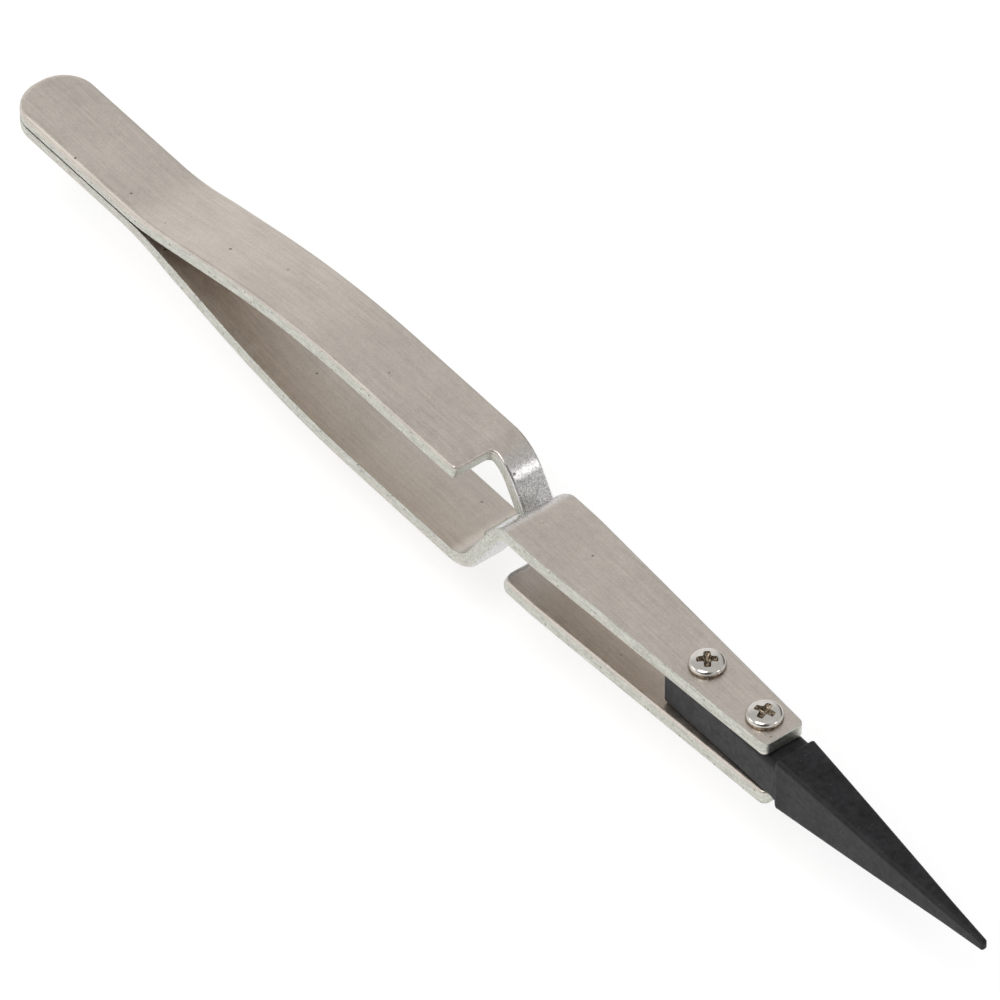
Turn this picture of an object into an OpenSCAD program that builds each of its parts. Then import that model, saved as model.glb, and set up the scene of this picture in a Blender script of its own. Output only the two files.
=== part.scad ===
// Cross-lock tweezers with replaceable tips. Squeezing the handles opens the points.
// X runs from the tail to the points, Y runs across the arms and Z is up.
// The origin is under the middle of the closed tweezers, on the surface they lie on.

/* [Overall] */
// Length from the tail to the points
overall_l = 160; // [150:1:200]
// Height across both handles where they run parallel
grip_h = 14.2; // [12:0.1:17.5]
// Width of each arm
arm_w = 9; // [8:0.1:12]
// Thickness of the sheet that each arm is bent from
sheet_t = 1.75; // [1.4:0.05:2.1]

/* [Tail] */
// Length of the flat tail, where the two arms lie face to face
tail_l = 20.6; // [18:0.1:24]
// Corner radius of the rounded tail end
tail_corner_r = 4.1; // [1:0.1:4.4]
// Diameter of each spot weld
weld_d = 4; // [3:0.1:5]
// Depth that each spot weld reaches into each sheet
weld_depth = 0.5; // [0.3:0.05:0.8]
// Distance from the tail end to the rear spot weld
weld_inset = 7; // [5:0.5:8]
// Distance between the two spot welds
weld_pitch = 9; // [6:0.5:10]

/* [Handles] */
// Steepness of the handles in degrees, where they bow out from the tail
bow_angle = 11.9; // [11:0.1:15]
// Radius of the soft bend where the handles leave the tail
root_r = 30; // [10:1:40]
// Radius of the long bend where the handles become parallel
bow_r = 115; // [60:5:120]
// Distance from the tail end to the bend where each arm turns down to cross the other
handle_l = 77.2; // [74:0.1:80]
// Distance from the tail end to the line that each arm flexes about
flex_x = 38; // [32:0.5:44]
// Clearance between the tail part and the flexing part of an arm
flex_gap = 0.2; // [0.15:0.05:0.4]

/* [Crossing] */
// Gap between the two strips where they pass side by side
strip_gap = 1.1; // [0.6:0.1:1.6]
// Steepness of the strips in degrees
strip_angle = 58; // [50:1:62]
// Inside radius of the bend from the handle into the strip
handle_bend_r = 4; // [2:0.1:4.5]
// Inside radius of the bend from the strip into the front plate
plate_bend_r = 1.5; // [1:0.1:3]
// Distance that the handle's notch edge lies past the start of its bend
notch_lead = 1.1; // [0.5:0.1:2]
// Distance that the plate's free rear edge lies behind the end of its bend
plate_lead = 1.2; // [0.5:0.1:2]
// Radius in the inner corners of the notch
notch_fillet_r = 0.8; // [0.3:0.1:1.5]
// Radius on the handle's free front corner
handle_corner_r = 0.35; // [0.1:0.05:1]

/* [Front plates] */
// Width of each plate at its front end
plate_front_w = 5.3; // [4.9:0.1:7]
// Distance from the plate's rear edge to where it starts to taper
taper_lead = 5.5; // [4:0.5:8]
// Radius that blends the straight side into the tapering side
taper_blend_r = 60; // [10:5:80]
// Radius on the plate's free rear corner
plate_rear_corner_r = 1.4; // [0.5:0.1:2.5]
// Radius on the plate's front corners
plate_corner_r = 0.8; // [0.3:0.1:1.5]

/* [Tips] */
// Free length of each tip, from its shoulder to its point
tip_l = 30.8; // [20:0.1:38]
// Width of the tip at its shoulder and along its shank
tip_w = 5.1; // [4:0.1:5.3]
// Height that the tip's shoulder stands above the shank
shoulder_rise = 0.96; // [0.2:0.01:1.4]
// Thickness of the shank that lies under the plate
shank_t = 2.64; // [2:0.01:3.3]
// Length of the shank under the plate
shank_cover = 16.6; // [14:0.1:18]
// Gap between the front end of the plate and the tip's shoulder
shoulder_gap = 1.6; // [0.2:0.1:2.5]
// Width of the point
point_w = 0.7; // [0.4:0.1:1.5]
// Thickness of the point
point_t = 0.55; // [0.3:0.05:1.2]
// Radius on the corners of the point
point_r = 0.3; // [0.1:0.05:0.5]
// Radius on the rear corners of the shank
shank_corner_r = 0.3; // [0.1:0.1:1]
// Gap that is left between the two closed tips
closed_gap = 0.1; // [0.05:0.05:0.2]

/* [Screws] */
// Diameter of the screw's thread
screw_d = 2; // [1.6:0.1:2.2]
// Distance that the end of the screw stays short of the tip's parting face
screw_end_gap = 0.13; // [0.05:0.01:0.5]
// Diameter of the pan head
head_d = 4; // [3.4:0.1:4.3]
// Height of the pan head at its centre
head_h = 1; // [0.8:0.1:1.6]
// Length of the cross recess
recess_l = 2.5; // [1.8:0.1:2.6]
// Width of each arm of the cross recess
recess_w = 0.5; // [0.3:0.05:0.7]
// Depth of the cross recess
recess_depth = 0.6; // [0.3:0.05:0.7]
// Distance between the two screws of one tip
screw_pitch = 9.4; // [7:0.1:10.5]
// Distance from the front end of the plate to the front screw
screw_inset = 3.3; // [2.6:0.1:4]
// Radial clearance of the screw in the plate
plate_hole_clearance = 0.1; // [0.05:0.05:0.2]
// Radial clearance of the screw in the tip's tapped hole
thread_clearance = 0.02; // [0.01:0.01:0.05]

/* [Hidden] */
$fn = 120;

STEEL = [0.72, 0.7, 0.67];
NICKEL = [0.85, 0.84, 0.81];
CARBON = [0.16, 0.16, 0.17];
WELD = [0.6, 0.59, 0.57];

// Widest distance between a rounded corner and its chords
chord_error = 0.002;

// Centre-line radii of the two tight bends
handle_r = handle_bend_r + sheet_t / 2;
plate_r = plate_bend_r + sheet_t / 2;

// Rise and run of the sheet's middle from the tail to where the handles are parallel
bow_rise = grip_h / 2 - sheet_t;
bow_straight = (bow_rise - (root_r + bow_r) * (1 - cos(bow_angle))) / sin(bow_angle);
bow_run = (root_r + bow_r) * sin(bow_angle) + bow_straight * cos(bow_angle);

// Height of the shank's outer face, which the plate lies on
seat_z = closed_gap / 2 + shank_t;
shoulder_t = shank_t + shoulder_rise;
// Length of the screw under its head
screw_l = sheet_t + shank_t - screw_end_gap;

// Fall of the sheet's middle from the handle to the plate
strip_fall = grip_h / 2 + seat_z;
strip_straight = (strip_fall - (handle_r + plate_r) * (1 - cos(strip_angle))) / sin(strip_angle);
strip_run = (handle_r + plate_r) * sin(strip_angle) + strip_straight * cos(strip_angle);

// Stations along the arm, measured from the tail end
notch_x = handle_l + notch_lead;
plate_x = handle_l + strip_run;
plate_rear_x = plate_x - plate_lead;
taper_x = plate_rear_x + taper_lead;
shoulder_x = overall_l - tip_l;
plate_front_x = shoulder_x - shoulder_gap;
shank_x = plate_front_x - shank_cover;
front_screw_x = plate_front_x - screw_inset;
rear_screw_x = front_screw_x - screw_pitch;

// Distance from each bend's corner point to where the bend starts or ends
root_reach = root_r * tan(bow_angle / 2);
bow_reach = bow_r * tan(bow_angle / 2);
handle_reach = handle_r * tan(strip_angle / 2);
plate_reach = plate_r * tan(strip_angle / 2);

// Middle line of the thumb arm's sheet seen from the side, as corners [x, z, radius]
ARM_LINE = [
    [0, sheet_t / 2, 0],
    [tail_l + root_reach, sheet_t / 2, root_r],
    [tail_l + bow_run - bow_reach, (grip_h - sheet_t) / 2, bow_r],
    [handle_l + handle_reach, (grip_h - sheet_t) / 2, handle_r],
    [plate_x - plate_reach, -seat_z - sheet_t / 2, plate_r],
    [plate_front_x, -seat_z - sheet_t / 2, 0]
];

// The tail's corners can't be rounder than half the arm's width
tail_round = min(tail_corner_r, arm_w / 2 - 0.1);

// Outline of the thumb arm seen from above, as corners [x, y, radius]
ARM_OUTLINE = [
    [0, -arm_w / 2, tail_round],
    [notch_x, -arm_w / 2, handle_corner_r],
    [notch_x, strip_gap / 2, notch_fillet_r],
    [plate_rear_x, strip_gap / 2, notch_fillet_r],
    [plate_rear_x, -arm_w / 2, plate_rear_corner_r],
    [taper_x, -arm_w / 2, taper_blend_r],
    [plate_front_x, -plate_front_w / 2, plate_corner_r],
    [plate_front_x, plate_front_w / 2, plate_corner_r],
    [taper_x, arm_w / 2, taper_blend_r],
    [0, arm_w / 2, tail_round]
];

// Outline of a tip seen from above
TIP_PLAN = [
    [shank_x, -tip_w / 2, shank_corner_r],
    [shoulder_x, -tip_w / 2, 0],
    [overall_l, -point_w / 2, point_r],
    [overall_l, point_w / 2, point_r],
    [shoulder_x, tip_w / 2, 0],
    [shank_x, tip_w / 2, shank_corner_r]
];

// Outline of a tip seen from the side, with the parting face at height 0
TIP_SIDE = [
    [shank_x, 0, 0],
    [overall_l, 0, 0],
    [overall_l, point_t, point_r],
    [shoulder_x, shoulder_t, 0],
    [shoulder_x, shank_t, 0],
    [shank_x, shank_t, 0]
];

// Half outline of a pan head, from the axis outwards
head_edge_r = head_h / 2;
head_crown = head_h / 8;
HEAD_PROFILE = [
    [0, 0, 0],
    [head_d / 2, 0, 0],
    [head_d / 2, head_h - head_crown, head_edge_r],
    [0, head_h, 0]
];

function flat(v) = [v[0], v[1]];
function unit(v) = v / norm(v);
function direction(v) = atan2(v[1], v[0]);
function half_turn(a) = a > 180 ? a - 360 : (a < -180 ? a + 360 : a);

// Points of a closed outline whose corners [x, y, radius] are rounded
function rounded(corners) =
    let (n = len(corners))
    [for (i = [0 : n - 1])
        each rounded_corner(corners[(i + n - 1) % n], corners[i], corners[(i + 1) % n])];

// Points of the arc at corner b, between the sides towards a and c
function rounded_corner(a, b, c) =
    let (u = unit(flat(a) - flat(b)))
    let (v = unit(flat(c) - flat(b)))
    let (half = acos(u * v) / 2)
    let (centre = flat(b) + unit(u + v) * b[2] / sin(half))
    let (start = direction(flat(b) + u * b[2] / tan(half) - centre))
    let (end = direction(flat(b) + v * b[2] / tan(half) - centre))
    let (sweep = half_turn(end - start))
    b[2] == 0 ? [flat(b)] :
    let (steps = ceil(abs(sweep) / chord_turn(b[2])))
    [for (k = [0 : steps])
        let (turn = start + sweep * k / steps)
        centre + b[2] * [cos(turn), sin(turn)]];

// Turn of one chord on an arc of this radius
function chord_turn(radius) = 2 * acos(1 - chord_error / radius);

// One side of a bent sheet, at a distance to the left of its middle line
function sheet_side(line, left) =
    let (last = len(line) - 1)
    [for (i = [0 : last])
        let (ahead = unit(flat(line[min(i + 1, last)]) - flat(line[min(i, last - 1)])))
        let (behind = unit(flat(line[max(i, 1)]) - flat(line[max(i - 1, 0)])))
        let (normal = unit([-ahead[1] - behind[1], ahead[0] + behind[0]]))
        let (turn = half_turn(direction(ahead) - direction(behind)))
        let (point = flat(line[i]) + normal * left / cos(turn / 2))
        [point[0], point[1], turn == 0 ? 0 : line[i][2] - sign(turn) * left]];

function reversed(list) = [for (i = [len(list) - 1 : -1 : 0]) list[i]];

// Moves what is built from the tail end, about the middle plane, into the part's frame
module in_frame() {
    translate([-overall_l / 2, 0, grip_h / 2])
        children();
}

// Turns what belongs to the thumb arm over, for the finger arm
module turned_over() {
    rotate([180, 0, 0])
        children();
}

// The thumb arm's bent sheet, wider than the arm
module bent_sheet() {
    side = concat(
        sheet_side(ARM_LINE, -sheet_t / 2),
        reversed(sheet_side(ARM_LINE, sheet_t / 2))
    );
    translate([0, arm_w, 0])
        rotate([90, 0, 0])
            linear_extrude(2 * arm_w)
                polygon(rounded(side));
}

// The arm's outline between two stations along its length
module arm_outline(from, to) {
    intersection() {
        polygon(rounded(ARM_OUTLINE));
        translate([from, -arm_w])
            square([to - from, 2 * arm_w]);
    }
}

// The thumb arm between two stations along its length
module arm_between(from, to) {
    intersection() {
        bent_sheet();
        translate([0, 0, -grip_h])
            linear_extrude(2 * grip_h)
                arm_outline(from, to);
    }
}

module arm_tail() {
    color(STEEL)
        difference() {
            arm_between(0, flex_x - flex_gap / 2);
            for (x = [weld_inset, weld_inset + weld_pitch])
                spot_weld(x);
        }
}

module flexing_arm() {
    hole_d = screw_d + 2 * plate_hole_clearance;
    color(STEEL)
        difference() {
            arm_between(flex_x + flex_gap / 2, overall_l);
            screw_holes(hole_d);
        }
}

// Holes for both screws, through a lower plate or tip
module screw_holes(hole_d) {
    for (x = [rear_screw_x, front_screw_x])
        translate([x, 0, -grip_h])
            cylinder(d = hole_d, h = grip_h);
}

module spot_weld(x) {
    color(WELD)
        translate([x, 0, -weld_depth])
            cylinder(d = weld_d, h = 2 * weld_depth);
}

// Upper tip, whose parting face is just above the middle plane
module tip() {
    hole_d = screw_d + 2 * thread_clearance;
    color(CARBON)
        difference() {
            intersection() {
                translate([0, 0, closed_gap / 2])
                    linear_extrude(shoulder_t)
                        polygon(rounded(TIP_PLAN));
                translate([0, tip_w, closed_gap / 2])
                    rotate([90, 0, 0])
                        linear_extrude(2 * tip_w)
                            polygon(rounded(TIP_SIDE));
            }
            turned_over()
                screw_holes(hole_d);
        }
}

// Screw in the upper plate, with its recess turned by an angle about its axis
module screw(x, recess_turn) {
    color(NICKEL)
        translate([x, 0, seat_z + sheet_t])
            difference() {
                union() {
                    rotate_extrude()
                        polygon(rounded(HEAD_PROFILE));
                    translate([0, 0, -screw_l])
                        cylinder(d = screw_d, h = screw_l + head_h / 2);
                }
                rotate([0, 0, recess_turn])
                    cross_recess();
            }
}

module cross_recess() {
    for (turn = [0, 90])
        rotate([0, 0, turn])
            translate([-recess_l / 2, -recess_w / 2, head_h - recess_depth])
                cube([recess_l, recess_w, head_h]);
}

module thumb_arm_tail() { in_frame() arm_tail(); }
module thumb_arm() { in_frame() flexing_arm(); }
module finger_arm_tail() { in_frame() turned_over() arm_tail(); }
module finger_arm() { in_frame() turned_over() flexing_arm(); }
module rear_spot_weld() { in_frame() spot_weld(weld_inset); }
module front_spot_weld() { in_frame() spot_weld(weld_inset + weld_pitch); }
module upper_tip() { in_frame() tip(); }
module lower_tip() { in_frame() turned_over() tip(); }
module upper_rear_screw() { in_frame() screw(rear_screw_x, 53); }
module upper_front_screw() { in_frame() screw(front_screw_x, 22); }
module lower_rear_screw() { in_frame() turned_over() screw(rear_screw_x, 10); }
module lower_front_screw() { in_frame() turned_over() screw(front_screw_x, 65); }

thumb_arm_tail();
thumb_arm();
finger_arm_tail();
finger_arm();
rear_spot_weld();
front_spot_weld();
upper_tip();
lower_tip();
upper_rear_screw();
upper_front_screw();
lower_rear_screw();
lower_front_screw();
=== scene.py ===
"""Cross-lock tweezers with replaceable tips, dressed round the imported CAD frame."""
import math

import bmesh
import bpy
from mathutils import Matrix, Vector


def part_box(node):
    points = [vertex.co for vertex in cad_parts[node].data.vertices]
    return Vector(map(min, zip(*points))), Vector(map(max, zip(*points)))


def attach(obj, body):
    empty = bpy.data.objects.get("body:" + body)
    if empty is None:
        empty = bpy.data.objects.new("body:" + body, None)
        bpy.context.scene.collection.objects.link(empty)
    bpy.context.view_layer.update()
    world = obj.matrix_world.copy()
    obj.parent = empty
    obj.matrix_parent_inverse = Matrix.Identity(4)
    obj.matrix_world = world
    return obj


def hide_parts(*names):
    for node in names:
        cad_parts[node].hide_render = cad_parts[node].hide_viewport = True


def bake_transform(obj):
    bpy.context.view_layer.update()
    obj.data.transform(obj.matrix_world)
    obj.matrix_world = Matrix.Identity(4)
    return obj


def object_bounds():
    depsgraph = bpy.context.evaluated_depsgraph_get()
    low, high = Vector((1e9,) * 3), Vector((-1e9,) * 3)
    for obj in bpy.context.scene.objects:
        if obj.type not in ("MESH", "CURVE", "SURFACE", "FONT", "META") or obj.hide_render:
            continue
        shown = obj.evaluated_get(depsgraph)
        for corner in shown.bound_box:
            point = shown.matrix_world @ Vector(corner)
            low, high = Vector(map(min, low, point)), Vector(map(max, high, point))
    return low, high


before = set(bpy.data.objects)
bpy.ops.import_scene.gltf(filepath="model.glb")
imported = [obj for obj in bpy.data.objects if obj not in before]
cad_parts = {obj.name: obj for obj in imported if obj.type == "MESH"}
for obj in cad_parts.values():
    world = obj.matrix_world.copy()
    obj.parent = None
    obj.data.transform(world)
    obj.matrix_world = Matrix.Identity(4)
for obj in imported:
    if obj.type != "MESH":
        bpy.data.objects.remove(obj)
CAD_LOW, CAD_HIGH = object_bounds()

# Lengths below are in millimetres, and meshes are scaled to metres once they are built
MM = 0.001


def size_of(node):
    """Lowest and highest corner of a CAD node, in millimetres."""
    low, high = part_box(node)
    return Vector(low) / MM, Vector(high) / MM


LOW, HIGH = CAD_LOW / MM, CAD_HIGH / MM
GRIP_H = HIGH.z - LOW.z
ARM_W = HIGH.y - LOW.y
MID_Z = (LOW.z + HIGH.z) / 2
TIP_LOW, TIP_HIGH = size_of("upper_tip")
PLATE_FRONT_X = size_of("finger_arm")[1].x - LOW.x
SHANK_X = TIP_LOW.x - LOW.x
TIP_END_X = TIP_HIGH.x - LOW.x

SHEET_T = 1.75
TAIL_L = 20.6
TAIL_CORNER_R = 4.1
BOW_ANGLE = math.radians(11.9)
ROOT_R = 30.0
BOW_R = 115.0
HANDLE_L = 77.2
HANDLE_R = 4.875
PLATE_R = 2.375
STRIP_ANGLE = math.radians(58.0)
STRIP_GAP = 1.1
NOTCH_LEAD = 1.1
PLATE_LEAD = 1.2
NOTCH_FILLET_R = 0.8
HANDLE_CORNER_R = 0.5
PLATE_FRONT_W = 5.3
TAPER_LEAD = 5.5
TAPER_BLEND_R = 60.0
PLATE_REAR_CORNER_R = 1.4
PLATE_CORNER_R = 0.8
HOLE_R = 1.1
TAPPED_R = 1.02

# Radii of the sheet's arrises: where the punch went in they are tumbled round the tail and
# rolled over elsewhere, and where it came out they are crisp
TAIL_ROLL_R = 0.75
ROLL_R = 0.3
BURR_R = 0.1
# Distance that each tail's inner face stays from the middle, so that the seam shows
SEAM = 0.13
# Length over which both change past the tail
TAIL_FADE = 9.0
ARRIS_STEPS = 5
# Width of the flat strip beside each arris, which keeps its shading crisp
SUPPORT = 0.05

SHANK_T = 2.64
SHOULDER_T = TIP_HIGH.z - TIP_LOW.z
TIP_FREE_L = 30.8
SHOULDER_X = TIP_END_X - TIP_FREE_L
TIP_HALF_W = (TIP_HIGH.y - TIP_LOW.y) / 2
POINT_HALF_W = 0.35
POINT_T = 0.55
PARTING = TIP_LOW.z - MID_Z
SEAT = PARTING + SHANK_T
# Height of the visible parting faces, which all but touch
TOUCH = 0.004

# Middle line of the thumb arm's sheet, as (length, turn) from the tail
BOW_RISE = GRIP_H / 2 - SHEET_T
BOW_BENDS = ROOT_R + BOW_R
BOW_STRAIGHT = (BOW_RISE - BOW_BENDS * (1 - math.cos(BOW_ANGLE))) / math.sin(BOW_ANGLE)
BOW_RUN = BOW_BENDS * math.sin(BOW_ANGLE) + BOW_STRAIGHT * math.cos(BOW_ANGLE)
STRIP_FALL = GRIP_H / 2 + SEAT
STRIP_BENDS = HANDLE_R + PLATE_R
STRIP_STRAIGHT = (STRIP_FALL - STRIP_BENDS * (1 - math.cos(STRIP_ANGLE))) / math.sin(STRIP_ANGLE)
STRIP_RUN = STRIP_BENDS * math.sin(STRIP_ANGLE) + STRIP_STRAIGHT * math.cos(STRIP_ANGLE)
PLATE_RUN = PLATE_FRONT_X - HANDLE_L - STRIP_RUN
LINE = [
    (TAIL_L, 0.0),
    (ROOT_R * BOW_ANGLE, BOW_ANGLE),
    (BOW_STRAIGHT, 0.0),
    (BOW_R * BOW_ANGLE, -BOW_ANGLE),
    (HANDLE_L - TAIL_L - BOW_RUN, 0.0),
    (HANDLE_R * STRIP_ANGLE, -STRIP_ANGLE),
    (STRIP_STRAIGHT, 0.0),
    (PLATE_R * STRIP_ANGLE, STRIP_ANGLE),
    (PLATE_RUN, 0.0),
]
# Places in LINE of the bow's slope, the handle's tight bend, the front plate and its end
BOW_SLOPE, HANDLE_BEND, PLATE, FRONT = 2, 5, 8, 9

# Longest piece of the bow's slope between the stations that divide it
SLOPE_STEP = 2.0


# ---------------------------------------------------------------- outlines

def rotated(v, turn):
    c, s = math.cos(turn), math.sin(turn)
    return Vector((v.x * c - v.y * s, v.x * s + v.y * c))


def rounded(corners, step=math.radians(6)):
    """Points of a closed outline of corners (x, y, radius), each with its outward normal."""
    made = []
    for i, (x, y, radius) in enumerate(corners):
        before, here, after = (Vector(corners[j % len(corners)][:2]) for j in (i - 1, i, i + 1))
        ahead, onward = (here - before).normalized(), (after - here).normalized()
        turn = math.atan2(ahead.x * onward.y - ahead.y * onward.x, ahead.dot(onward))
        if not radius:
            made.append((here, Vector((ahead.y, -ahead.x))))
            continue
        side = math.copysign(1.0, turn)
        normal = Vector((ahead.y, -ahead.x))
        centre = here - ahead * radius * math.tan(abs(turn) / 2) - normal * side * radius
        steps = max(4, math.ceil(abs(turn) / step))
        for k in range(steps + 1):
            out = rotated(normal, turn * k / steps)
            made.append((centre + out * side * radius, out))
    return made


def circle(centre, radius, steps=48):
    """Points round a hole, with normals that point into it."""
    turns = [-2 * math.pi * k / steps for k in range(steps)]
    ways = [Vector((math.cos(t), math.sin(t))) for t in turns]
    return [(centre + way * radius, -way) for way in ways]


def quarter(radius, steps):
    """(inset, drop) along the quarter arc from a flat face to its side wall."""
    turns = [math.pi / 2 * k / steps for k in range(steps + 1)]
    return [(radius * (1 - math.sin(t)), radius * (1 - math.cos(t))) for t in turns]


# ---------------------------------------------------------------- mesh helpers

def bridge(bm, first, second, material=0):
    """Quads between two rings of the same number of vertices."""
    for i in range(len(first)):
        j = (i + 1) % len(first)
        face = bm.faces.new((first[i], second[i], second[j], first[j]))
        face.material_index = material


def make_object(name, bm, place, materials):
    """Scales a millimetre mesh, puts it in place and links it as a smooth-shaded object."""
    bmesh.ops.transform(bm, matrix=Matrix.Scale(MM, 4) @ place, verts=bm.verts[:])
    bmesh.ops.recalc_face_normals(bm, faces=bm.faces[:])
    for face in bm.faces:
        face.smooth = True
    mesh = bpy.data.meshes.new(name)
    bm.to_mesh(mesh)
    bm.free()
    for material in materials:
        mesh.materials.append(material)
    made = bpy.data.objects.new(name, mesh)
    bpy.context.scene.collection.objects.link(made)
    return made


def cut(target, cutter):
    """Takes cutter away from target for good. Faces that it leaves keep its material index."""
    knife = target.modifiers.new("cut", "BOOLEAN")
    knife.operation = "DIFFERENCE"
    knife.solver = "EXACT"
    knife.object = cutter
    bpy.context.view_layer.update()
    graph = bpy.context.evaluated_depsgraph_get()
    solid = bpy.data.meshes.new_from_object(target.evaluated_get(graph))
    target.modifiers.clear()
    old = target.data
    target.data = solid
    solid.name = old.name
    bpy.data.meshes.remove(old)
    bpy.data.objects.remove(cutter)


def crisp(piece, degrees=35):
    """Keeps edges sharper than this angle sharp in the shading."""
    piece.data.set_sharp_from_angle(angle=math.radians(degrees))


UPRIGHT = Matrix.Translation((LOW.x, 0, MID_Z))
TURNED = UPRIGHT @ Matrix.Rotation(math.pi, 4, "X")


# ---------------------------------------------------------------- arms

def on_line(s):
    """Point and heading of the sheet's middle line at a distance s from the tail end."""
    x, z, heading = 0.0, SHEET_T / 2, 0.0
    for length, turn in LINE:
        run = min(s, length)
        if turn:
            radius = length / turn
            new = heading + run / radius
            x += radius * (math.sin(new) - math.sin(heading))
            z += radius * (math.cos(heading) - math.cos(new))
            heading = new
        else:
            x += run * math.cos(heading)
            z += run * math.sin(heading)
        s -= run
    return x, z, heading


def starts():
    """Distance from the tail end to the start of each piece of the middle line."""
    found = [0.0]
    for length, _ in LINE:
        found.append(found[-1] + length)
    return found


def bend_stations():
    """Distances at which the flat blank is divided, so that it bends smoothly."""
    cuts = set()
    for i, ((length, turn), start) in enumerate(zip(LINE, starts())):
        steps = math.ceil(length / SLOPE_STEP) if i == BOW_SLOPE else 1
        if turn:
            tight = length < 2 * HANDLE_R
            steps = math.ceil(abs(turn) / math.radians(2.4 if tight else 0.6))
        cuts.update(round(start + length * k / steps, 5) for k in range(steps + 1))
    return sorted(cuts)


def blank_corners():
    """Corners of the flat blank, as (distance from the tail, y, radius)."""
    at = starts()
    notch = at[HANDLE_BEND] + HANDLE_R * math.asin(NOTCH_LEAD / HANDLE_R)
    rear = at[PLATE] - PLATE_R * math.asin(PLATE_LEAD / PLATE_R)
    taper = at[PLATE] + TAPER_LEAD - PLATE_LEAD
    front = at[FRONT]
    return [
        (0, -ARM_W / 2, TAIL_CORNER_R),
        (TAIL_L, -ARM_W / 2, 0),
        (TAIL_L + TAIL_FADE, -ARM_W / 2, 0),
        (notch, -ARM_W / 2, HANDLE_CORNER_R),
        (notch, STRIP_GAP / 2, NOTCH_FILLET_R),
        (rear, STRIP_GAP / 2, NOTCH_FILLET_R),
        (rear, -ARM_W / 2, PLATE_REAR_CORNER_R),
        (taper, -ARM_W / 2, TAPER_BLEND_R),
        (front, -PLATE_FRONT_W / 2, PLATE_CORNER_R),
        (front, PLATE_FRONT_W / 2, PLATE_CORNER_R),
        (taper, ARM_W / 2, TAPER_BLEND_R),
        (TAIL_L + TAIL_FADE, ARM_W / 2, 0),
        (TAIL_L, ARM_W / 2, 0),
        (0, ARM_W / 2, TAIL_CORNER_R),
    ]


def past_tail(s):
    """0 along the tail and 1 from TAIL_FADE past it."""
    return min(1, max(0, (s - TAIL_L) / TAIL_FADE))


def roll_radius(s):
    """Radius of the rolled arris at a distance s from the tail end."""
    return TAIL_ROLL_R + (ROLL_R - TAIL_ROLL_R) * past_tail(s)


def thickness_profile(upper_r, lower_r):
    """(inset, height) from the sheet's upper face over its side wall to its lower face."""
    sides = []
    for radius, sign in ((upper_r, 1), (lower_r, -1)):
        half = SHEET_T / 2
        side = [(radius + SUPPORT, half)]
        side += [(inset, half - drop) for inset, drop in quarter(radius, ARRIS_STEPS)]
        side.append((0, half - radius - SUPPORT))
        sides.append([(inset, sign * height) for inset, height in side])
    return sides[0] + sides[1][::-1]


def arm_blank(holes):
    """The arm's flat blank with rounded arrises, divided at the bend stations."""
    bm = bmesh.new()
    cap = bm.faces.layers.int.new("cap")
    rims = [[], []]
    outer = rounded(blank_corners())
    for outline in [outer, *holes]:
        columns = []
        for point, normal in outline:
            upper_r = roll_radius(point.x) if outline is outer else BURR_R
            profile = thickness_profile(upper_r, BURR_R)
            places = [(point - normal * inset, height) for inset, height in profile]
            columns.append([bm.verts.new((p.x, p.y, height)) for p, height in places])
        rings = [list(ring) for ring in zip(*columns)]
        for i in range(len(rings) - 1):
            satin = i <= ARRIS_STEPS or i == len(rings) - 2
            bridge(bm, rings[i], rings[i + 1], 0 if satin else 1)
        rims[0].append(rings[0])
        rims[1].append(rings[-1])
    for rim in rims:
        edges = [
            bm.edges.get((ring[i - 1], ring[i])) for ring in rim for i in range(len(ring))
        ]
        made = bmesh.ops.triangle_fill(bm, edges=edges, use_beauty=True)
        for face in made["geom"]:
            if isinstance(face, bmesh.types.BMFace):
                face[cap] = 1
    for s in bend_stations():
        geom = bm.verts[:] + bm.edges[:] + bm.faces[:]
        bmesh.ops.bisect_plane(bm, geom=geom, dist=1e-4, plane_co=(s, 0, 0), plane_no=(1, 0, 0))
    return bm


def bent_arm(name, place, materials):
    """The blank bent along the middle line."""
    at = starts()
    holes = []
    for node in ("upper_rear_screw", "upper_front_screw"):
        low, high = size_of(node)
        along = (low.x + high.x) / 2 - LOW.x
        holes.append(circle(Vector((at[FRONT] - PLATE_FRONT_X + along, 0)), HOLE_R))
    bm = arm_blank(holes)
    layer = bm.verts.layers.float_vector.new("blank")
    for vert in bm.verts:
        s, y, height = vert.co
        vert[layer] = vert.co
        if height < 0:
            height *= 1 - 2 * SEAM / SHEET_T * (1 - past_tail(s))
        x, z, heading = on_line(s)
        vert.co = (x - height * math.sin(heading), y, z + height * math.cos(heading))
    cap = bm.faces.layers.int["cap"]
    inside = [e for e in bm.edges if len(e.link_faces) == 2 and all(f[cap] for f in e.link_faces)]
    bmesh.ops.dissolve_limit(
        bm, angle_limit=math.radians(0.02), verts=[], edges=inside, delimit={"MATERIAL"},
    )
    arm = make_object(f"{name}_visual", bm, place, materials)
    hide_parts(name, f"{name}_tail")
    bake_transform(arm)
    return arm


# ---------------------------------------------------------------- tips

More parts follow.
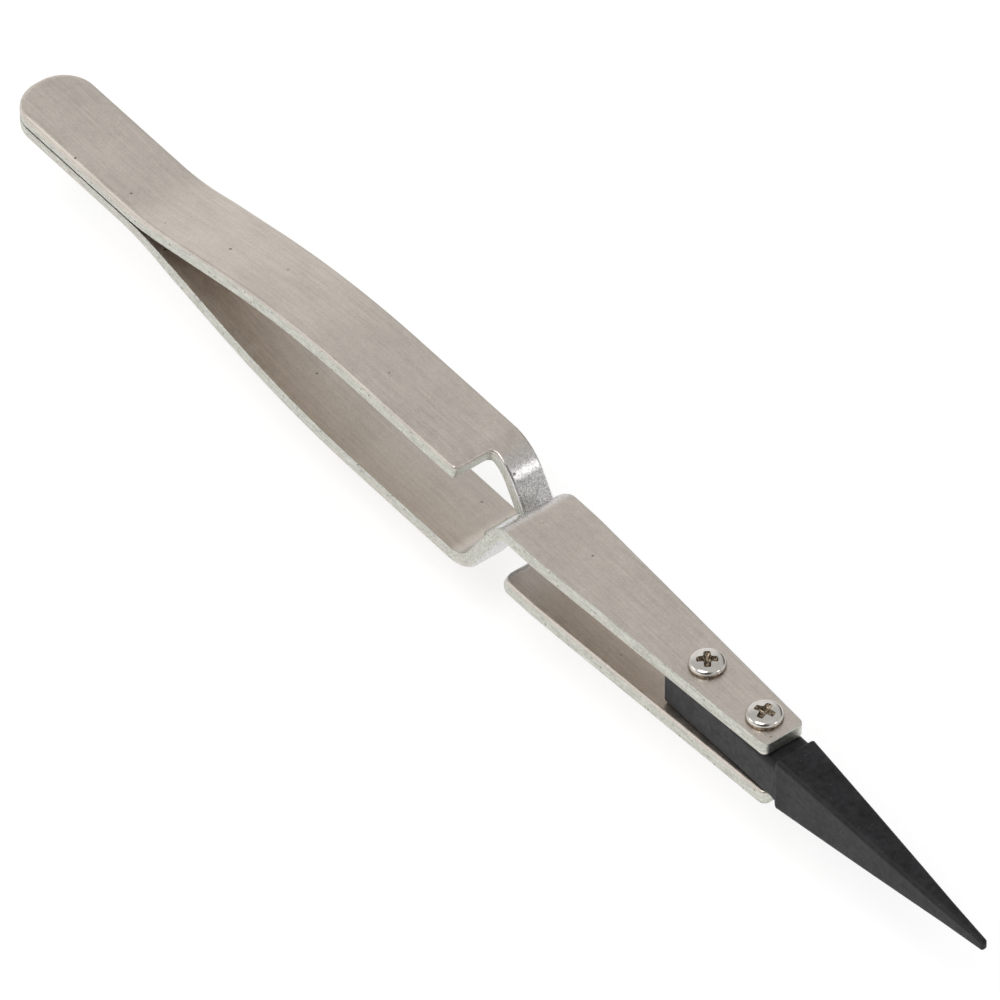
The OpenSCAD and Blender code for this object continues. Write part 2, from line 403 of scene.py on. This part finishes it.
def section(x, half_w, low, high, top_r, bottom_r):
    """Ring of points round a tip at x: a rectangle with rounded corners and crisp flats."""
    ring = []
    corners = [
        (half_w, low, bottom_r, -90), (half_w, high, top_r, 0),
        (-half_w, high, top_r, 90), (-half_w, low, bottom_r, 180),
    ]
    for y, z, r, first in corners:
        r = min(r, half_w * 0.8, (high - low) * 0.45)
        cy, cz = y - math.copysign(r, y), z - r if z == high else z + r
        a0, a1 = math.radians(first), math.radians(first + 90)
        lead = min(SUPPORT, r * 0.3)
        start = Vector((cy + r * math.cos(a0), cz + r * math.sin(a0)))
        end = Vector((cy + r * math.cos(a1), cz + r * math.sin(a1)))
        ring.append(start + Vector((math.sin(a0), -math.cos(a0))) * lead)
        for k in range(5):
            a = a0 + (a1 - a0) * k / 4
            ring.append(Vector((cy + r * math.cos(a), cz + r * math.sin(a))))
        ring.append(end + Vector((-math.sin(a1), math.cos(a1))) * lead)
    return [(x, p.x, p.y) for p in ring]


def tip_sections():
    """Rings of an upper tip from the rear end of its shank to its point."""
    end_r, foot_r, crest_r, edge_r, low_r = 0.25, 0.12, 0.25, 0.5, 0.015
    shank_r = 0.7
    top = SEAT
    made = []

    def add(x, half_w, low, high, top_r=edge_r, bottom_r=low_r):
        made.append(section(x, half_w, low, high, top_r, bottom_r))

    add(SHANK_X, TIP_HALF_W - end_r - SUPPORT, TOUCH + 0.08, top - end_r - SUPPORT, shank_r)
    for inset, drop in quarter(end_r, 4):
        add(SHANK_X + drop, TIP_HALF_W - inset, TOUCH + 0.3 * inset, top - inset, shank_r)
    add(SHANK_X + end_r + SUPPORT, TIP_HALF_W, TOUCH, top, shank_r)
    add(SHOULDER_X - foot_r - 0.5, TIP_HALF_W, TOUCH, top, shank_r)
    add(SHOULDER_X - foot_r - SUPPORT, TIP_HALF_W, TOUCH, top)

    # The step up to the shoulder, with a fillet at its foot and a rounded crest
    slope = (SHOULDER_T - POINT_T) / (TIP_END_X - SHOULDER_X)
    crest = PARTING + SHOULDER_T - crest_r * slope
    for k in range(5):
        a = math.radians(85) * k / 4
        add(SHOULDER_X - foot_r + foot_r * math.sin(a), TIP_HALF_W, TOUCH,
            top + foot_r * (1 - math.cos(a)))
    for k in range(6):
        a = math.radians(5 + 80 * k / 5)
        add(SHOULDER_X + 0.05 + crest_r * (1 - math.cos(a)), TIP_HALF_W, TOUCH,
            crest - crest_r * (1 - math.sin(a)))

    # The taper, whose sides swell by a hair between the shoulder and the point
    swell = 0.06
    begin = SHOULDER_X + 0.05 + crest_r + SUPPORT
    finish = TIP_END_X - 0.35
    steps = 16
    for k in range(steps + 1):
        u = k / steps
        x = begin + (finish - begin) * u
        share = (x - SHOULDER_X) / (TIP_END_X - SHOULDER_X)
        bulge = swell * 4 * u * (1 - u)
        half_w = TIP_HALF_W + (POINT_HALF_W - TIP_HALF_W) * share + bulge
        high = PARTING + SHOULDER_T + (POINT_T - SHOULDER_T) * share + bulge / 2
        add(x, half_w, TOUCH, high, min(edge_r, half_w * 0.6))

    # The rounded point
    half_w, high = POINT_HALF_W + 0.02, POINT_T + 0.03
    for k in range(1, 6):
        a = math.pi / 2 * k / 6
        add(finish + 0.35 * math.sin(a), 0.08 + (half_w - 0.08) * math.cos(a), TOUCH,
            PARTING + 0.2 + (high - 0.2) * math.cos(a), 0.2, 0.05)
    add(TIP_END_X, 0.07, TOUCH, PARTING + 0.17, 0.1, 0.03)
    return made


def round_cutter(x, radius, low, high, steps=48):
    """An upright cylinder to cut a hole with, in the thumb arm's own frame."""
    bm = bmesh.new()
    rings = []
    for z in (high, low):
        turns = [2 * math.pi * k / steps for k in range(steps)]
        rings.append([
            bm.verts.new((x + radius * math.cos(t), radius * math.sin(t), z)) for t in turns
        ])
    bridge(bm, rings[0], rings[1])
    bm.faces.new(rings[0])
    bm.faces.new(rings[1][::-1])
    return bm


def tip(name, body, place, material):
    """A lofted tip with the tapped holes cut through it."""
    bm = bmesh.new()
    rings = [[bm.verts.new(p) for p in ring] for ring in tip_sections()]
    for first, second in zip(rings, rings[1:]):
        bridge(bm, first, second)
    bm.faces.new(rings[0])
    bm.faces.new(rings[-1][::-1])
    made = make_object(f"{name}_visual", bm, place, [material])
    for node in ("upper_rear_screw", "upper_front_screw"):
        low, high = size_of(node)
        x = (low.x + high.x) / 2 - LOW.x
        below, above = TOUCH - 1, SEAT + 1
        cutter = make_object("cutter", round_cutter(x, TAPPED_R, below, above), place, [])
        cut(made, cutter)
    crisp(made)
    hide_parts(name)
    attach(made, body)
    return made


# ---------------------------------------------------------------- screws

HEAD_R = 2.0
HEAD_H = 1.0
THREAD_PITCH = 0.4
# The foot of the head, painted dark as a painted contact shadow, lies between these heights
NECK_Z = -0.03
FOOT_H = 0.16


def head_profile():
    """(radius, height) of the pan head from its centre out, over the rim and under it."""
    shoulder_r, rim_r, rim_z, crown = 0.6, 0.12, 0.3, 0.16
    profile = []
    flat_r = HEAD_R - shoulder_r
    steepest = math.radians(82)
    for k in range(1, 9):
        u = k / 9
        profile.append((flat_r * u, HEAD_H - crown * u * u))
    for k in range(9):
        a = steepest * (1 - k / 8)
        radius = flat_r + shoulder_r * math.cos(a)
        rise = (HEAD_H - crown - rim_z) * math.sin(a) / math.sin(steepest)
        profile.append((radius, rim_z + rise))
    for inset, drop in quarter(rim_r, 4)[::-1]:
        profile.append((HEAD_R - inset, drop))
    return profile


def thread_radius(turn, z, length):
    """Radius of the threaded shank at an angle and a depth under the head."""
    phase = (z / THREAD_PITCH + turn / (2 * math.pi)) % 1
    ridge = 1 - abs(2 * phase - 1)
    fade = min(1, max(0, (length - z) / 0.3))
    return 0.8 + 0.19 * min(1, 1.35 * ridge) * fade - 0.12 * (1 - fade)


def screw_mesh(length, steps=64):
    """A pan-head screw on its own axis, with its head's seat at height 0."""
    bm = bmesh.new()
    turns = [2 * math.pi * k / steps for k in range(steps)]
    rings = []
    for radius, z in head_profile():
        rings.append([bm.verts.new((radius * math.cos(t), radius * math.sin(t), z)) for t in turns])
    neck = [(0.99, 0.0), (0.9, -0.04)]
    for radius, z in neck:
        rings.append([bm.verts.new((radius * math.cos(t), radius * math.sin(t), z)) for t in turns])
    threads = int((length - 0.1) / 0.05)
    for k in range(1, threads + 1):
        z = 0.04 + (length - 0.04) * k / threads
        ring = []
        for t in turns:
            radius = thread_radius(t, z, length)
            ring.append(bm.verts.new((radius * math.cos(t), radius * math.sin(t), -z)))
        rings.append(ring)
    for first, second in zip(rings, rings[1:]):
        # Faces at the foot of the head take the second material, a painted contact shadow
        foot = NECK_Z < second[0].co.z < FOOT_H
        bridge(bm, first, second, 1 if foot else 0)
    bm.faces.new(rings[0])
    bm.faces.new(rings[-1][::-1])
    return bm


def recess_cutter():
    """A tapered cross with rounded wings and a pointed centre."""
    # (height over the head's top, reach of each wing, half its width)
    levels = [(0.35, 1.46, 0.52), (0.0, 1.24, 0.4), (-0.42, 0.88, 0.25), (-0.5, 0.6, 0.17)]
    bm = bmesh.new()
    rings = []
    for height, reach, half_w in levels:
        corners = []
        for k in range(4):
            turn = math.pi / 2 * k
            r = half_w * 0.45
            for x, y, radius in ((half_w, -half_w, r), (reach, -half_w, r), (reach, half_w, r)):
                p = rotated(Vector((x, y)), turn)
                corners.append((p.x, p.y, radius))
        points = rounded(corners, math.radians(25))
        rings.append([bm.verts.new((p.x, p.y, HEAD_H + height)) for p, _ in points])
    # The recess walls take the second material, painted shade and painted brownish reflection
    for first, second in zip(rings, rings[1:]):
        bridge(bm, first, second, 1)
    lid = bm.faces.new(rings[0])
    lid.material_index = 1
    deepest = bm.verts.new((0, 0, HEAD_H - 0.66))
    last = rings[-1]
    for i in range(len(last)):
        face = bm.faces.new((last[i], deepest, last[(i + 1) % len(last)]))
        face.material_index = 1
    return bm


def screw(name, body, recess_turn, materials):
    """A screw in its place, with a cross recess cut into its head."""
    low, high = size_of(name)
    upper = name.startswith("upper")
    centre = Vector(((low.x + high.x) / 2, 0, 0))
    seat = high.z - HEAD_H if upper else low.z + HEAD_H
    length = high.z - low.z - HEAD_H
    flip = Matrix.Identity(4) if upper else Matrix.Rotation(math.pi, 4, "X")
    place = Matrix.Translation((centre.x, 0, seat)) @ flip
    place = place @ Matrix.Rotation(math.radians(recess_turn), 4, "Z")
    made = make_object(f"{name}_visual", screw_mesh(length), place, materials)
    cut(made, make_object("cutter", recess_cutter(), place, materials))
    crisp(made)
    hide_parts(name)
    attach(made, body)
    return made


# ---------------------------------------------------------------- materials

class Nodes:
    """A new material and short ways to add nodes to it."""

    def __init__(self, name):
        self.material = bpy.data.materials.new(name)
        self.material.use_nodes = True
        self.tree = self.material.node_tree
        self.tree.nodes.clear()
        self.shader = self.add("ShaderNodeBsdfPrincipled")
        output = self.add("ShaderNodeOutputMaterial")
        self.link(self.shader.outputs["BSDF"], output.inputs["Surface"])

    def add(self, kind, **settings):
        node = self.tree.nodes.new(kind)
        for key, value in settings.items():
            setattr(node, key, value)
        return node

    def link(self, out, into):
        self.tree.links.new(out, into)

    def blank(self):
        """Coordinates on the flat blank, in millimetres."""
        node = self.add("ShaderNodeAttribute", attribute_name="blank")
        return node.outputs["Vector"]

    def object(self):
        """Object coordinates, in millimetres."""
        place = self.add("ShaderNodeTexCoord")
        return self.scaled(place.outputs["Object"], (1 / MM,) * 3)

    def scaled(self, vector, scale):
        node = self.add("ShaderNodeVectorMath", operation="MULTIPLY")
        self.link(vector, node.inputs[0])
        node.inputs[1].default_value = scale
        return node.outputs[0]

    def noise(self, vector, scale, detail=3.0, roughness=0.55, stretch=None):
        if stretch:
            vector = self.scaled(vector, stretch)
        node = self.add("ShaderNodeTexNoise")
        self.link(vector, node.inputs["Vector"])
        node.inputs["Scale"].default_value = scale
        node.inputs["Detail"].default_value = detail
        node.inputs["Roughness"].default_value = roughness
        return node.outputs["Fac"]

    def spots(self, vector, scale, radius, softness=0.06):
        """1 in small round spots that are scattered at random, and 0 between them."""
        node = self.add("ShaderNodeTexVoronoi")
        self.link(vector, node.inputs["Vector"])
        node.inputs["Scale"].default_value = scale
        return self.ramp(node.outputs["Distance"], radius, radius + softness, 1.0, 0.0)

    def ramp(self, value, low, high, first=0.0, last=1.0):
        node = self.add("ShaderNodeMapRange", clamp=True)
        self.link(value, node.inputs["Value"])
        for key, number in zip(("From Min", "From Max", "To Min", "To Max"), (low, high, first, last)):
            node.inputs[key].default_value = number
        return node.outputs["Result"]

    def math(self, kind, a, b):
        node = self.add("ShaderNodeMath", operation=kind)
        for socket, value in zip(node.inputs, (a, b)):
            if isinstance(value, (int, float)):
                socket.default_value = value
            else:
                self.link(value, socket)
        return node.outputs[0]

    def mix(self, factor, a, b, blend="MIX"):
        node = self.add("ShaderNodeMix", data_type="RGBA", blend_type=blend)
        sockets = [s for s in node.inputs if s.type == "RGBA"]
        factor_socket = node.inputs[0]
        if isinstance(factor, (int, float)):
            factor_socket.default_value = factor
        else:
            self.link(factor, factor_socket)
        for socket, value in zip(sockets, (a, b)):
            if isinstance(value, tuple):
                socket.default_value = (*value, 1.0)
            else:
                self.link(value, socket)
        return [s for s in node.outputs if s.type == "RGBA"][0]

    def split(self, vector):
        node = self.add("ShaderNodeSeparateXYZ")
        self.link(vector, node.inputs[0])
        return node.outputs

    def colour(self, value):
        self.link(value, self.shader.inputs["Base Color"])

    def rough(self, value):
        self.link(value, self.shader.inputs["Roughness"])

    def bump(self, height, depth):
        """Bump from a height of 0 to 1 that stands for depth millimetres."""
        node = self.add("ShaderNodeBump")
        node.inputs["Strength"].default_value = 1.0
        node.inputs["Distance"].default_value = depth * MM
        self.link(height, node.inputs["Height"])
        self.link(node.outputs["Normal"], self.shader.inputs["Normal"])


def satin_steel():
    """Bead-blasted and lightly brushed faces of the sheet."""
    n = Nodes("satin_steel")
    n.shader.inputs["Metallic"].default_value = 1.0
    place = n.blank()
    cloudy = n.noise(place, 0.11, 3, 0.55)
    mottle = n.noise(place, 0.9, 5, 0.68)
    grain = n.noise(place, 3.4, 3, 0.7)
    brushed = n.noise(place, 1.0, 4, 0.65, stretch=(0.16, 3.2, 3.2))
    tone = n.math("ADD", n.ramp(cloudy, 0.3, 0.7, -0.09, 0.09), n.ramp(mottle, 0.3, 0.7, -0.09, 0.09))
    tone = n.math("ADD", tone, n.ramp(grain, 0.3, 0.7, -0.13, 0.13))
    tone = n.math("ADD", tone, n.ramp(brushed, 0.3, 0.7, -0.12, 0.12))
    tone = n.math("ADD", tone, 0.5)
    base = n.mix(tone, (0.40, 0.360, 0.318), (0.80, 0.728, 0.655))
    # The strip between its two bends is painted a grainy neutral silver, a painted reflection of the
    # grey room that it faces
    at = starts()
    along = n.split(place)["X"]
    begins = n.ramp(along, at[HANDLE_BEND] + 1.5, at[HANDLE_BEND] + 4.0)
    ends = n.ramp(along, at[PLATE] - 1.0, at[PLATE], 1, 0)
    strip = n.math("MULTIPLY", begins, ends)
    sparkle = n.noise(place, 5.0, 2, 0.7)
    strip_painted_reflection = n.mix(n.ramp(sparkle, 0.3, 0.7), (0.36, 0.36, 0.365), (0.86, 0.86, 0.865))
    base = n.mix(n.math("MULTIPLY", strip, 0.8), base, strip_painted_reflection)
    pits = n.spots(place, 0.33, 0.03, 0.04)
    base = n.mix(pits, base, (0.2, 0.17, 0.14))
    n.colour(base)
    rough = n.math("ADD", n.ramp(mottle, 0.3, 0.7, 0.32, 0.42), n.ramp(grain, 0.3, 0.7, -0.05, 0.05))
    rough = n.math("SUBTRACT", rough, n.math("MULTIPLY", strip, 0.1))
    n.rough(rough)
    height = n.math("ADD", n.math("MULTIPLY", grain, 0.6), n.math("MULTIPLY", brushed, 0.5))
    height = n.math("SUBTRACT", height, n.math("MULTIPLY", pits, 1.0))
    n.bump(height, 0.02)
    return n.material


def sheared_steel():
    """Side walls of the sheet, sheared by the punch and dragged along their length."""
    n = Nodes("sheared_steel")
    n.shader.inputs["Metallic"].default_value = 1.0
    place = n.blank()
    streaks = n.noise(place, 1.0, 3, 0.6, stretch=(0.45, 0.45, 3.6))
    pitted = n.noise(place, 3.6, 4, 0.68)
    tone = n.math("ADD", n.ramp(streaks, 0.32, 0.68, 0.05, 0.5), n.ramp(pitted, 0.35, 0.65, 0.0, 0.5))
    base = n.mix(tone, (0.34, 0.337, 0.295), (0.75, 0.752, 0.685))
    pits = n.spots(place, 1.1, 0.09, 0.08)
    base = n.mix(n.math("MULTIPLY", pits, 0.7), base, (0.16, 0.14, 0.11))
    n.colour(base)
    n.rough(n.ramp(pitted, 0.3, 0.7, 0.32, 0.5))
    height = n.math("ADD", n.math("MULTIPLY", streaks, 0.7), n.math("MULTIPLY", pitted, 0.6))
    n.bump(n.math("SUBTRACT", height, n.math("MULTIPLY", pits, 0.6)), 0.06)
    return n.material


def carbon_plastic():
    """Near-black moulded tips, mottled by the carbon in them."""
    n = Nodes("carbon_plastic")
    n.shader.inputs["Specular IOR Level"].default_value = 0.25
    place = n.object()
    cloudy = n.noise(place, 0.35, 3, 0.55)
    mottle = n.noise(place, 1.3, 5, 0.7)
    fine = n.noise(place, 4.0, 3, 0.65)
    tone = n.math("ADD", n.ramp(cloudy, 0.3, 0.7, -0.1, 0.4), n.ramp(mottle, 0.35, 0.65, 0.0, 0.7))
    base = n.mix(tone, (0.0015, 0.0015, 0.0025), (0.024, 0.0235, 0.026))
    # Light spots scattered over the tips are painted glints
    painted_glint_spots = n.spots(place, 1.4, 0.05, 0.05)
    base = n.mix(n.math("MULTIPLY", painted_glint_spots, 0.35), base, (0.25, 0.24, 0.23))
    n.colour(base)
    n.rough(n.ramp(mottle, 0.35, 0.65, 0.34, 0.62))
    height = n.math("ADD", n.math("MULTIPLY", mottle, 0.6), n.math("MULTIPLY", fine, 0.5))
    n.bump(n.math("ADD", height, n.math("MULTIPLY", painted_glint_spots, 0.3)), 0.05)
    return n.material


def nickel():
    """Bright nickel plate on the screws."""
    n = Nodes("nickel")
    n.shader.inputs["Metallic"].default_value = 1.0
    place = n.object()
    cloudy = n.noise(place, 1.2, 3, 0.6)
    fine = n.noise(place, 12.0, 2, 0.6)
    n.colour(n.mix(cloudy, (0.55, 0.515, 0.47), (0.8, 0.77, 0.73)))
    n.rough(n.ramp(cloudy, 0.3, 0.7, 0.08, 0.18))
    n.bump(n.math("ADD", n.math("MULTIPLY", cloudy, 0.7), n.math("MULTIPLY", fine, 0.3)), 0.008)
    return n.material


def shaded_recess_nickel():
    """Foot of the head and walls of its recess: painted contact shadow at the foot, painted shade and
    painted brownish reflection in the recess.
    """
    n = Nodes("shaded_recess_nickel")
    n.shader.inputs["Metallic"].default_value = 1.0
    place = n.object()
    cloudy = n.noise(place, 3.0, 3, 0.65)
    n.colour(n.mix(n.ramp(cloudy, 0.35, 0.65), (0.05, 0.036, 0.025), (0.42, 0.34, 0.25)))
    n.rough(n.ramp(cloudy, 0.3, 0.7, 0.2, 0.4))
    n.bump(cloudy, 0.02)
    return n.material


def fused_steel():
    """Spot welds between the two tails."""
    n = Nodes("fused_steel")
    n.shader.inputs["Metallic"].default_value = 1.0
    place = n.object()
    cloudy = n.noise(place, 1.6, 4, 0.6)
    n.colour(n.mix(cloudy, (0.3, 0.27, 0.24), (0.62, 0.6, 0.57)))
    n.rough(n.ramp(cloudy, 0.3, 0.7, 0.4, 0.7))
    n.bump(cloudy, 0.05)
    return n.material


# ---------------------------------------------------------------- studio

# The floor lies lower than the tweezers, so that the lower jaw stays in view as it opens
FLOOR_DROP = 0.007


def floor():
    bm = bmesh.new()
    half = 4.0
    corners = [(-half, -half), (half, -half), (half, half), (-half, half)]
    bm.faces.new([bm.verts.new((x, y, -FLOOR_DROP)) for x, y in corners])
    mesh = bpy.data.meshes.new("floor")
    bm.to_mesh(mesh)
    bm.free()
    made = bpy.data.objects.new("floor", mesh)
    bpy.context.scene.collection.objects.link(made)
    n = Nodes("pale_floor")
    n.shader.inputs["Base Color"].default_value = (0.5, 0.5, 0.5, 1)
    n.shader.inputs["Roughness"].default_value = 1.0
    n.shader.inputs["Specular IOR Level"].default_value = 0.0
    n.shader.inputs["Emission Color"].default_value = (1, 1, 1, 1)
    n.shader.inputs["Emission Strength"].default_value = 0.62
    mesh.materials.append(n.material)


# Brightness of the room by the sine of the elevation
SKY_LEVELS = [(0.0, 0.72), (0.3, 0.70), (0.55, 0.64), (0.72, 0.62), (0.85, 0.62), (1.0, 0.66)]
# Soft boxes and dark places, as (direction, degrees of full level, degrees of reach, level)
SKY_PATCHES = [
    ((-0.84, 0.43, 0.32), 12, 32, 0.3),
    ((0.80, 0.435, 0.42), 3, 11, 2.2),
    ((-0.55, -0.71, 0.43), 8, 20, 1.0),
    ((-0.2, 0.95, 0.12), 14, 36, -0.5),
    ((0.9, 0.43, 0.08), 8, 22, -0.34),
    ((0.55, -0.55, 0.5), 16, 40, -0.55),
]


def sky():
    """A soft white room, with the softer and the darker places that the steel mirrors."""
    world = bpy.data.worlds.new("studio")
    bpy.context.scene.world = world
    world.use_nodes = True
    tree = world.node_tree
    tree.nodes.clear()
    place = tree.nodes.new("ShaderNodeTexCoord").outputs["Generated"]
    split = tree.nodes.new("ShaderNodeSeparateXYZ")
    ramp = tree.nodes.new("ShaderNodeValToRGB")
    background = tree.nodes.new("ShaderNodeBackground")
    output = tree.nodes.new("ShaderNodeOutputWorld")
    tree.links.new(place, split.inputs[0])
    tree.links.new(split.outputs["Z"], ramp.inputs["Fac"])
    ramp.color_ramp.interpolation = "EASE"
    stops = ramp.color_ramp.elements
    while len(stops) < len(SKY_LEVELS):
        stops.new(0.5)
    for stop, (at, level) in zip(stops, SKY_LEVELS):
        stop.position = at
        stop.color = (level, level, level, 1)
    total = ramp.outputs["Color"]
    for way, inner, outer, level in SKY_PATCHES:
        total = sky_patch(tree, place, total, way, inner, outer, level)
    tree.links.new(total, background.inputs["Color"])
    tree.links.new(background.outputs[0], output.inputs["Surface"])
    background.inputs["Strength"].default_value = 1.0


def sky_patch(tree, place, under, way, inner, outer, level):
    """Adds level inside a cone of inner degrees, fading to nothing at outer degrees."""
    along = tree.nodes.new("ShaderNodeVectorMath")
    along.operation = "DOT_PRODUCT"
    along.inputs[1].default_value = Vector(way).normalized()
    tree.links.new(place, along.inputs[0])
    fade = tree.nodes.new("ShaderNodeMapRange")
    fade.interpolation_type = "SMOOTHSTEP"
    fade.inputs["From Min"].default_value = math.cos(math.radians(outer))
    fade.inputs["From Max"].default_value = math.cos(math.radians(inner))
    fade.inputs["To Max"].default_value = level
    tree.links.new(along.outputs["Value"], fade.inputs["Value"])
    total = tree.nodes.new("ShaderNodeVectorMath")
    tree.links.new(under, total.inputs[0])
    tree.links.new(fade.outputs["Result"], total.inputs[1])
    return total.outputs[0]


def lamp(name, place, aim, size, power):
    light = bpy.data.lights.new(name, "AREA")
    light.shape = "RECTANGLE"
    light.size, light.size_y = size
    light.energy = power
    made = bpy.data.objects.new(name, light)
    bpy.context.scene.collection.objects.link(made)
    made.location = place
    made.rotation_euler = (Vector(aim) - Vector(place)).to_track_quat("-Z", "Y").to_euler()
    return made


def camera():
    azimuth, elevation = math.radians(51.782), math.radians(45.293)
    back = Vector((
        math.sin(azimuth) * math.cos(elevation),
        -math.cos(azimuth) * math.cos(elevation),
        math.sin(elevation),
    ))
    aim = Vector((0.00041, 0, 0.0083))
    data = bpy.data.cameras.new("camera")
    data.lens = 516.8
    data.sensor_width = 36
    data.clip_start, data.clip_end = 0.01, 50
    made = bpy.data.objects.new("camera", data)
    bpy.context.scene.collection.objects.link(made)
    made.location = aim + back * 1.5
    made.rotation_euler = (-back).to_track_quat("-Z", "Y").to_euler()
    bpy.context.scene.camera = made


# ---------------------------------------------------------------- the scene

STEEL = [satin_steel(), sheared_steel()]
CARBON = carbon_plastic()
NICKEL = [nickel(), shaded_recess_nickel()]
WELD = fused_steel()

bent_arm("thumb_arm", UPRIGHT, STEEL)
bent_arm("finger_arm", TURNED, STEEL)
tip("upper_tip", "finger_side", UPRIGHT, CARBON)
tip("lower_tip", "thumb_side", TURNED, CARBON)
for screw_name, side, turn in (
    ("upper_rear_screw", "finger_side", 53),
    ("upper_front_screw", "finger_side", 22),
    ("lower_rear_screw", "thumb_side", 10),
    ("lower_front_screw", "thumb_side", 65),
):
    screw(screw_name, side, turn, NICKEL)
for weld in ("rear_spot_weld", "front_spot_weld"):
    for material_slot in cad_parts[weld].material_slots:
        material_slot.material = WELD

floor()
sky()
lamp("overhead", (0.1, -0.55, 1.15), (0, 0, 0), (0.7, 0.7), 5.5)
camera()
bpy.context.scene.view_settings.view_transform = "Standard"
